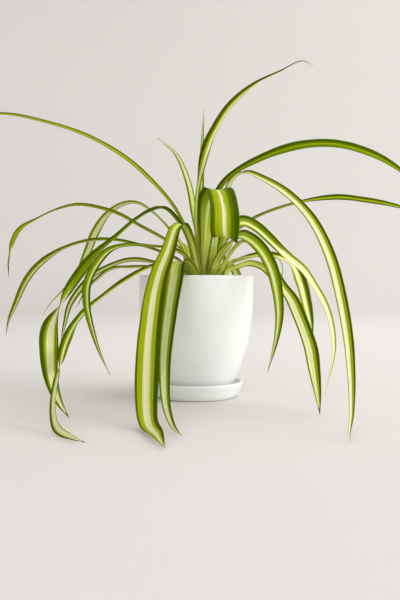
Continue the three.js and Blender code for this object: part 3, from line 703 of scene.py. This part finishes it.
def make_soil(context):
    """The soil that fills the pot, with loose crumbs on top."""
    settings = context.scene.plant_soil
    inner = SOIL_TOP.x
    bm = bmesh.new()
    shade = bm.verts.layers.float.new("crumb_shade")
    rings = [(inner * i / SOIL_RINGS, SOIL_TOP.z) for i in range(SOIL_RINGS + 1)]
    for vertex in turned(bm, [*rings, *SOIL_SIDE, (0.0, SOIL_BASE)], SOIL_STEPS):
        if vertex.co.z > SOIL_TOP.z - 1e-5:
            edge = smoothstep(vertex.co.xy.length, inner - SOIL_SLOPE[0], inner)
            height = soil_height(vertex.co.x, vertex.co.y, settings.lumps)
            vertex.co.z = height - SOIL_SLOPE[1] * edge
        vertex[shade] = PLAIN_SHADE
    draw = random.Random(SOIL_SEED)
    noise.seed_set(SOIL_SEED)
    for _ in range(settings.crumbs):
        angle, out = draw.uniform(0, TURN), (inner - CRUMB_MARGIN) * math.sqrt(draw.random())
        x, y = out * math.cos(angle), out * math.sin(angle)
        size = min(LARGEST_CRUMB, settings.crumb * draw.lognormvariate(0, 0.45))
        tone = draw.random()
        if (Vector((x, y)) - CROWN_MIDDLE.xy).length > CROWN_RADIUS - CRUMB_MARGIN:
            height = soil_height(x, y, settings.lumps) + size * 0.25
            add_crumb(bm, Vector((x, y, height)), size, tone, draw)
    finished("potting_soil", bm, [soil_material(settings)], "soil")


def width_at(width, share, full_at, broad_to):
    """Width of a blade: narrow at the crown, full from full_at to broad_to, drawn out to the tip."""
    base = min(BASE_WIDTH, width * BASE_SHARE)
    full = blend(base, width, smoothstep(share, 0, full_at))
    run = max(0.0, (share - broad_to) / (1 - broad_to))
    return max(TIP_WIDTH, full * (1 - run**TAPER))


def fold_at(share):
    """Depth of a blade's channel over half its width."""
    return blend(blend(FOLD[0], FOLD[1], smoothstep(share, 0, 0.4)), FOLD[2], smoothstep(share, 0.6, 1))


Row = namedtuple("Row", "share middle side up")


def blade_rows(leaf):
    """Rows of a blade from inside the crown to the tip, evenly spaced along its midrib."""
    turn, lift = math.radians(leaf.heading), math.radians(leaf.rise)
    out = Vector((math.cos(turn) * math.cos(lift), math.sin(turn) * math.cos(lift), math.sin(lift)))
    start = CROWN_MIDDLE + out * (CROWN_RADIUS + CLEARANCE)
    path = [[value / MILLIMETRES for value in point] for point in leaf.path]
    line = curve_through([start, start + out * LEAF_START, *path], PATH_STEPS)
    line.insert(0, start - out * LEAF_SUNK)
    reached = [-LEAF_SUNK]
    for a, b in zip(line, line[1:]):
        reached.append(reached[-1] + (b - a).length)
    length = reached[-1]
    count = max(FEWEST_ROWS, round((length + LEAF_SUNK) / ROW_GAP))
    across = Vector((math.sin(turn), -math.cos(turn), 0))
    along = out.copy()
    rows = []
    for i in range(count + 1):
        at = blend(-LEAF_SUNK, length, i / count)
        k = min(len(line) - 2, max(0, bisect.bisect_right(reached, at) - 1))
        part = (at - reached[k]) / (reached[k + 1] - reached[k])
        here = (line[k + 1] - line[k]).normalized()
        ahead = (line[min(k + 2, len(line) - 1)] - line[min(k + 1, len(line) - 2)]).normalized()
        tangent = here.lerp(ahead, part).normalized()
        across = along.rotation_difference(tangent) @ across
        across = (across - tangent * across.dot(tangent)).normalized()
        along = tangent
        share = max(0.0, at / length)
        angle = sum(degrees * smoothstep(share, low, high) for low, high, degrees in leaf.twist)
        side = Matrix.Rotation(math.radians(angle), 3, tangent) @ across
        rows.append(Row(share, line[k].lerp(line[k + 1], part), side, side.cross(tangent)))
    return rows, length


def add_blade(bm, leaf, marks, half_columns, waviness, seed):
    """Adds one channelled blade: a grid closed round the blade's section, its first half the upper side."""
    rows, length = blade_rows(leaf)
    full_width = leaf.width / MILLIMETRES
    columns, last = 2 * half_columns, len(rows) - 1
    made = bmesh.ops.create_grid(bm, x_segments=columns, y_segments=last, size=0.5, calc_uvs=True)["verts"]
    draw, across_at, along_at, dry_at = (bm.verts.layers.float[name] for name in BLADE_VALUES)
    stripe, margins = (bm.verts.layers.float_vector[name] for name in BLADE_VECTORS)
    for vertex in made:
        round_at, k = vertex.co.x + 0.5, round((vertex.co.y + 0.5) * last)
        share, middle, side, up = rows[k]
        w = -math.cos(TURN * round_at)
        upper = round_at < 0.5
        grown = 1 + UNEVEN * noise.noise(Vector((share * length * 22, seed, 3.3)))
        half = width_at(full_width, share, leaf.full_at, leaf.broad_to) / 2 * grown
        raised = half * fold_at(share) * abs(w) ** 1.25
        sway = noise.noise(Vector((share * length * 30, seed * 1.7, 9.0 if w > 0 else 2.0)))
        raised += waviness * sway * w * w * smoothstep(share, 0.05, 0.3) * half / SWAY_HALF
        thick = blend(blend(RIB[0], RIB[1], share), EDGE, min(1.0, abs(w) * 1.15) ** 0.7)
        thick *= math.sqrt(max(0.0, 1 - w**10)) * smoothstep(1.02 - share, 0, 0.06)
        drop = 0.0 if upper else thick
        vertex.co = middle + side * (half * w) + up * (raised - drop - EDGE * abs(w) ** 8 / 2)
        vertex[across_at] = (1 - w) / 2
        vertex[along_at] = share * length
        vertex[dry_at] = smoothstep(share, 1 - marks.dry * 2 - 0.001, 1 - marks.dry)
        # Before pale_from a leaf gets painted shade: less cream, deeper green and a wider right margin.
        turns = marks.pale_from
        pale = smoothstep(share, turns - PALE_BLUR, turns + PALE_BLUR) if turns else 1
        yellow = marks.yellow - GREEN_YELLOW * (1 - pale)
        vertex[stripe] = (marks.cream - GREEN_CREAM * (1 - pale), marks.shift, yellow)
        vertex[margins] = (marks.left, marks.right + GREEN_MARGIN * (1 - pale), 0)
        vertex[draw] = seed


def blade_bmesh():
    """An empty bmesh with what the leaf materials read and the map for stored pictures of them."""
    bm = bmesh.new()
    bm.loops.layers.uv.new("OFBake")
    for name in BLADE_VALUES:
        bm.verts.layers.float.new(name)
    for name in BLADE_VECTORS:
        bm.verts.layers.float_vector.new(name)
    return bm


def close_blade(bm):
    """Closes a blade along its edge and at both ends, and gives its underside the second material."""
    bmesh.ops.remove_doubles(bm, verts=bm.verts, dist=1e-7)
    holes = [edge for edge in bm.edges if edge.is_boundary]
    bmesh.ops.holes_fill(bm, edges=holes, sides=0)
    bmesh.ops.recalc_face_normals(bm, faces=bm.faces)
    bake = bm.loops.layers.uv["OFBake"]
    for face in bm.faces:
        middle = sum(loop[bake].uv.x for loop in face.loops) / len(face.loops)
        face.material_index = 1 if middle > 0.5 else 0


def stripe_group():
    """The markings of a blade: cream down the middle, then light green, green and a darker margin."""
    tree, given, put = new_group(
        "leaf stripes",
        [(name, "NodeSocketColor", (0.5, 0.5, 0.5, 1)) for name in LEAF_COLOURS],
        [("Color", "NodeSocketColor"), ("Roughness", "NodeSocketFloat"), ("Height", "NodeSocketFloat")],
    )

    def read(name, output="Fac"):
        return add_node(tree, "ShaderNodeAttribute", attribute_name=name).outputs[output]

    across, along, draw = read("across"), read("along"), read("draw")
    stripe = add_node(tree, "ShaderNodeSeparateXYZ", {0: read("stripe", "Vector")}).outputs
    margins = add_node(tree, "ShaderNodeSeparateXYZ", {0: read("margins", "Vector")}).outputs
    place = joined(tree, maths(tree, "MULTIPLY", along, 14.0), draw, 0.0)
    wander = maths(tree, "MULTIPLY_ADD", noise_value(tree, place, 1.0), 0.1, -0.05)
    at = maths(tree, "ADD", across, wander)

    def lines(count, length):
        """Uneven lines along the blade, about 0 to 1."""
        spread = joined(
            tree, maths(tree, "MULTIPLY", across, count), maths(tree, "MULTIPLY", along, length), draw
        )
        return ramp(tree, noise_value(tree, spread, 1.0, detail=2.0, roughness=0.6), 0.3, 0.7)

    streaks, fine = lines(9.0, 2.0), lines(24.0, 1.5)
    off = maths(tree, "SUBTRACT", maths(tree, "SUBTRACT", at, 0.5), stripe["Y"])
    streak = maths(tree, "MULTIPLY_ADD", streaks, 0.2, -0.1)
    from_middle = maths(tree, "MULTIPLY_ADD", maths(tree, "ABSOLUTE", off), 2.0, streak)
    is_light = ramp(tree, from_middle, stripe["X"], maths(tree, "ADD", stripe["X"], 0.1))
    mottled = maths(tree, "ADD", from_middle, maths(tree, "MULTIPLY_ADD", fine, 0.5, -0.25))
    green_from = maths(tree, "MULTIPLY_ADD", stripe["Z"], 0.5, 0.15)
    is_green = ramp(tree, mottled, green_from, maths(tree, "ADD", green_from, 0.4))
    edge = maths(tree, "MULTIPLY_ADD", fine, 0.1, -0.05)
    left = maths(tree, "SUBTRACT", maths(tree, "SUBTRACT", margins["X"], at), edge)
    # The right margin is the leaf's own darker edge, widened with painted shade on the half that faces away
    # from the light.
    right = maths(tree, "ADD", maths(tree, "ADD", maths(tree, "SUBTRACT", at, 1.0), margins["Y"]), edge)
    is_margin = ramp(tree, maths(tree, "MAXIMUM", left, right), -0.05, 0.04)
    colour = mixed(tree, is_green, given["Light"], given["Green"])
    cream = mixed(tree, ramp(tree, fine, 0.5, 1.0, 0.0, 0.3), given["Cream"], given["Light"])
    # Near the crown the cream turns towards the foot colour: painted light shining through the leaves.
    cream = mixed(tree, ramp(tree, along, 0.04, 0.15, 0.7, 0.0), cream, given["Foot"])
    colour = mixed(tree, is_light, cream, colour)
    # The lines at the foot are the leaves' own pale bases, brightened as painted light shining through the
    # leaves.
    foot = mixed(tree, ramp(tree, streaks, 0.0, 0.8), given["Light"], given["Foot"])
    colour = mixed(tree, ramp(tree, along, 0.01, 0.1, 0.85, 0.0), colour, foot)
    is_margin = maths(tree, "MULTIPLY", is_margin, ramp(tree, along, 0.0, 0.08, 0.5, 1.0))
    colour = mixed(tree, is_margin, colour, given["Margin"])
    colour = mixed(tree, read("dry"), colour, DRY_LEAF)
    tree.links.new(colour, put["Color"])
    tree.links.new(maths(tree, "MULTIPLY_ADD", streaks, 0.16, 0.42), put["Roughness"])
    tree.links.new(maths(tree, "MULTIPLY_ADD", fine, 0.6, streaks), put["Height"])
    return tree


def leaf_material(name, group, colours, bump_distance, gloss):
    """One side of a leaf."""
    values = {
        "Roughness": 0.42, "Specular IOR Level": gloss, "Subsurface Weight": 0.4,
        "Subsurface Radius": (1.0, 1.4, 0.3), "Subsurface Scale": 0.001,
    }
    material, tree, shader = new_material(name, values)
    inputs = {key: opaque(value) for key, value in colours.items()}
    add_group(tree, shader, group, inputs, 0.5, bump_distance)
    return material


def leaf_materials(settings):
    """The upper side and the underside of the leaves, the underside in darker colours: painted shade."""
    group = stripe_group()
    upper = {name: getattr(settings, name.lower()) for name in LEAF_COLOURS}
    # The underside's colours are a darker copy of the upper side's: painted shade.
    under = {name: Vector(colour) * settings.underside for name, colour in upper.items()}
    return [
        leaf_material("leaf upper side", group, upper, 0.0002, 0.005),
        leaf_material("leaf underside", group, under, 0.0003, 0.003),
    ]


def drawn_marks(name, draw):
    """The markings of a leaf: those set for it, or drawn ones."""
    drawn = Marks(*(draw.uniform(*span) for span in zip(FEWEST_MARKS, MOST_MARKS)))
    return MARKS.get(name, drawn)


def make_leaves(context):
    """Every leaf, each a piece of its own."""
    settings = context.scene.plant_leaves
    materials = leaf_materials(settings)
    draw = random.Random(settings.seed)
    for number, leaf in enumerate(LEAVES):
        bm = blade_bmesh()
        marks = drawn_marks(leaf.name, draw)
        add_blade(bm, leaf, marks, settings.half_columns, settings.waviness, number * SEED_STEP)
        close_blade(bm)
        finished("blade_" + leaf.name, bm, materials, "leaf_" + leaf.name)


def crown_material():
    """Pale, fleshy and fibrous, browner where it meets the soil."""
    values = {"Roughness": 0.55, "Subsurface Weight": 0.1, "Subsurface Scale": 0.002}
    material, tree, shader = new_material("crown", values)
    place = add_node(tree, "ShaderNodeTexCoord").outputs["Object"]
    height = add_node(tree, "ShaderNodeSeparateXYZ", {0: place}).outputs["Z"]
    stretched = add_node(tree, "ShaderNodeMapping", {"Vector": place, "Scale": (1.0, 1.0, 0.15)})
    fibres = noise_value(tree, stretched.outputs[0], 420.0, detail=3.0)
    pale, brown = mixed(tree, fibres, *CROWN_PALE), mixed(tree, fibres, *CROWN_BROWN)
    up = ramp(tree, maths(tree, "MULTIPLY_ADD", fibres, 0.004, height), 0.124, 0.133)
    tree.links.new(mixed(tree, up, brown, pale), shader.inputs["Base Color"])
    tree.links.new(ramp(tree, fibres, 0.3, 0.7, 0.45, 0.7), shader.inputs["Roughness"])
    add_bump(tree, shader, fibres, 0.6, 0.0006)
    return material


def make_crown(context):
    """The crown, ribbed like the bundle of leaf bases that it is."""
    bm = bmesh.new()
    dome = arc(0, CROWN_MIDDLE.z, CROWN_RADIUS, 0, 90, 24)[:-1]
    outline = [
        (0.0, CROWN_FOOT), (CROWN_STUB * 0.8, CROWN_FOOT), (CROWN_STUB, CROWN_FOOT + 0.004),
        (CROWN_STUB, CROWN_MIDDLE.z - 0.002), *dome, (0.0, CROWN_MIDDLE.z + CROWN_RADIUS),
    ]
    for vertex in turned(bm, outline, CROWN_STEPS):
        angle = math.atan2(vertex.co.y, vertex.co.x)
        out = vertex.co.xy.length
        rib = CROWN_RIB * abs(math.sin(8.5 * angle + 40 * (vertex.co.z - CROWN_FOOT)))
        inwards = Vector((vertex.co.x, vertex.co.y, max(0.0, vertex.co.z - CROWN_MIDDLE.z)))
        if out > 0.002:
            vertex.co -= inwards.normalized() * rib * smoothstep(out, 0.002, 0.01)
        vertex.co += Vector((CROWN_MIDDLE.x, CROWN_MIDDLE.y, 0))
    finished("crown_of_leaf_bases", bm, [crown_material()], "crown")


def area_light(name, place, aim, width, height, power, colour):
    """A flat soft light that faces a point."""
    light = bpy.data.lights.new(name, "AREA")
    light.shape = "RECTANGLE"
    light.size = width
    light.size_y = height
    light.energy = power
    light.color = colour
    lamp = bpy.data.objects.new(name, light)
    lamp.location = place
    lamp.rotation_euler = (Vector(aim) - Vector(place)).to_track_quat("-Z", "Y").to_euler()
    lamp.visible_camera = False
    bpy.context.scene.collection.objects.link(lamp)


def make_stage(context):
    """A pale floor that curves up into a round backdrop, soft lights and the camera."""
    scene = context.scene
    settings = scene.plant_stage
    bend = settings.radius * 0.35
    wall = arc(settings.radius - bend, bend, bend, -90, 0, 24)
    floor = [(settings.radius * 0.65 * i / 8, 0.0) for i in range(8)]
    outline = [(r, z - 0.0002) for r, z in [*floor, *wall, (settings.radius, settings.radius * 1.1)]]
    bm = bmesh.new()
    turned(bm, outline, 96)
    values = {"Base Color": opaque(settings.floor), "Roughness": 0.85, "Specular IOR Level": 0.2}
    backdrop = smooth_object("backdrop", bm, [new_material("backdrop paint", values)[0]])

    area_light("key", (2.6, -0.8, 1.15), (0, 0, 0.12), 2.8, 1.5, settings.key, WARM_LIGHT)
    area_light("fill", (-0.6, -2.4, 0.75), (0, 0, 0.15), 2.4, 0.8, settings.fill, COOL_LIGHT)
    area_light("top", (0.3, 0.5, 2.0), (0, 0.1, 0), 1.6, 1.6, settings.top, WARM_LIGHT)
    area_light("wall", (1.3, 1.2, 2.4), (1.0, 3.3, 0.5), 1.6, 1.6, settings.back, ROOM_LIGHT)

    world = bpy.data.worlds.new("studio")
    world.use_nodes = True
    glow = world.node_tree.nodes["Background"].inputs
    glow["Color"].default_value = opaque(ROOM_LIGHT)
    glow["Strength"].default_value = ROOM_STRENGTH
    scene.world = world
    scene.view_settings.view_transform = "Standard"

    camera = bpy.data.cameras.new("camera")
    camera.lens = CAMERA_LENS
    camera.sensor_width = CAMERA_SENSOR
    camera.clip_start, camera.clip_end = 0.05, 50.0
    holder = bpy.data.objects.new("camera", camera)
    holder.location = CAMERA_PLACE
    holder.rotation_euler = (math.pi / 2 - CAMERA_TILT, 0, 0)
    scene.collection.objects.link(holder)
    scene.camera = holder


class PLANT_OT_make_stage(bpy.types.Operator):
    """Make the pale floor and backdrop, the lights and the camera"""

    bl_idname = "plant.make_stage"
    bl_label = "Make Stage"

    def execute(self, context):
        make_stage(context)
        return {"FINISHED"}


class PLANT_OT_make_pottery(bpy.types.Operator):
    """Make the glazed pot and its saucer"""

    bl_idname = "plant.make_pottery"
    bl_label = "Make Pot and Saucer"

    def execute(self, context):
        make_pottery(context)
        return {"FINISHED"}


class PLANT_OT_make_soil(bpy.types.Operator):
    """Make the potting soil with its crumbs"""

    bl_idname = "plant.make_soil"
    bl_label = "Make Soil"

    def execute(self, context):
        make_soil(context)
        return {"FINISHED"}


class PLANT_OT_make_crown(bpy.types.Operator):
    """Make the crown that the leaves grow from"""

    bl_idname = "plant.make_crown"
    bl_label = "Make Crown"

    def execute(self, context):
        make_crown(context)
        return {"FINISHED"}


class PLANT_OT_make_leaves(bpy.types.Operator):
    """Make every striped leaf"""

    bl_idname = "plant.make_leaves"
    bl_label = "Make Leaves"

    def execute(self, context):
        make_leaves(context)
        return {"FINISHED"}


OPERATORS = (
    PLANT_OT_make_stage,
    PLANT_OT_make_pottery,
    PLANT_OT_make_soil,
    PLANT_OT_make_crown,
    PLANT_OT_make_leaves,
)
SETTINGS = {
    "plant_stage": StageSettings,
    "plant_pot": PotSettings,
    "plant_soil": SoilSettings,
    "plant_leaves": LeafSettings,
}


class PLANT_PT_panel(bpy.types.Panel):
    """Everything that makes the potted plant"""

    bl_idname = "PLANT_PT_panel"
    bl_label = "Potted Spider Plant"
    bl_space_type = "VIEW_3D"
    bl_region_type = "UI"
    bl_category = "Plant"

    def draw(self, context):
        for group in SETTINGS:
            settings = getattr(context.scene, group)
            box = self.layout.box()
            for name in settings.bl_rna.properties.keys():
                if name not in ("rna_type", "name"):
                    box.prop(settings, name)
        for operator in OPERATORS:
            self.layout.operator(operator.bl_idname)


def register():
    for name, group in SETTINGS.items():
        bpy.utils.register_class(group)
        setattr(bpy.types.Scene, name, PointerProperty(type=group))
    for item in (*OPERATORS, PLANT_PT_panel):
        bpy.utils.register_class(item)


def unregister():
    for item in reversed((*OPERATORS, PLANT_PT_panel)):
        bpy.utils.unregister_class(item)
    for name, group in SETTINGS.items():
        delattr(bpy.types.Scene, name)
        bpy.utils.unregister_class(group)


def main():
    register()
    bpy.ops.plant.make_stage()
    bpy.ops.plant.make_pottery()
    bpy.ops.plant.make_soil()
    bpy.ops.plant.make_crown()
    bpy.ops.plant.make_leaves()


if __name__ == "__main__":
    main()
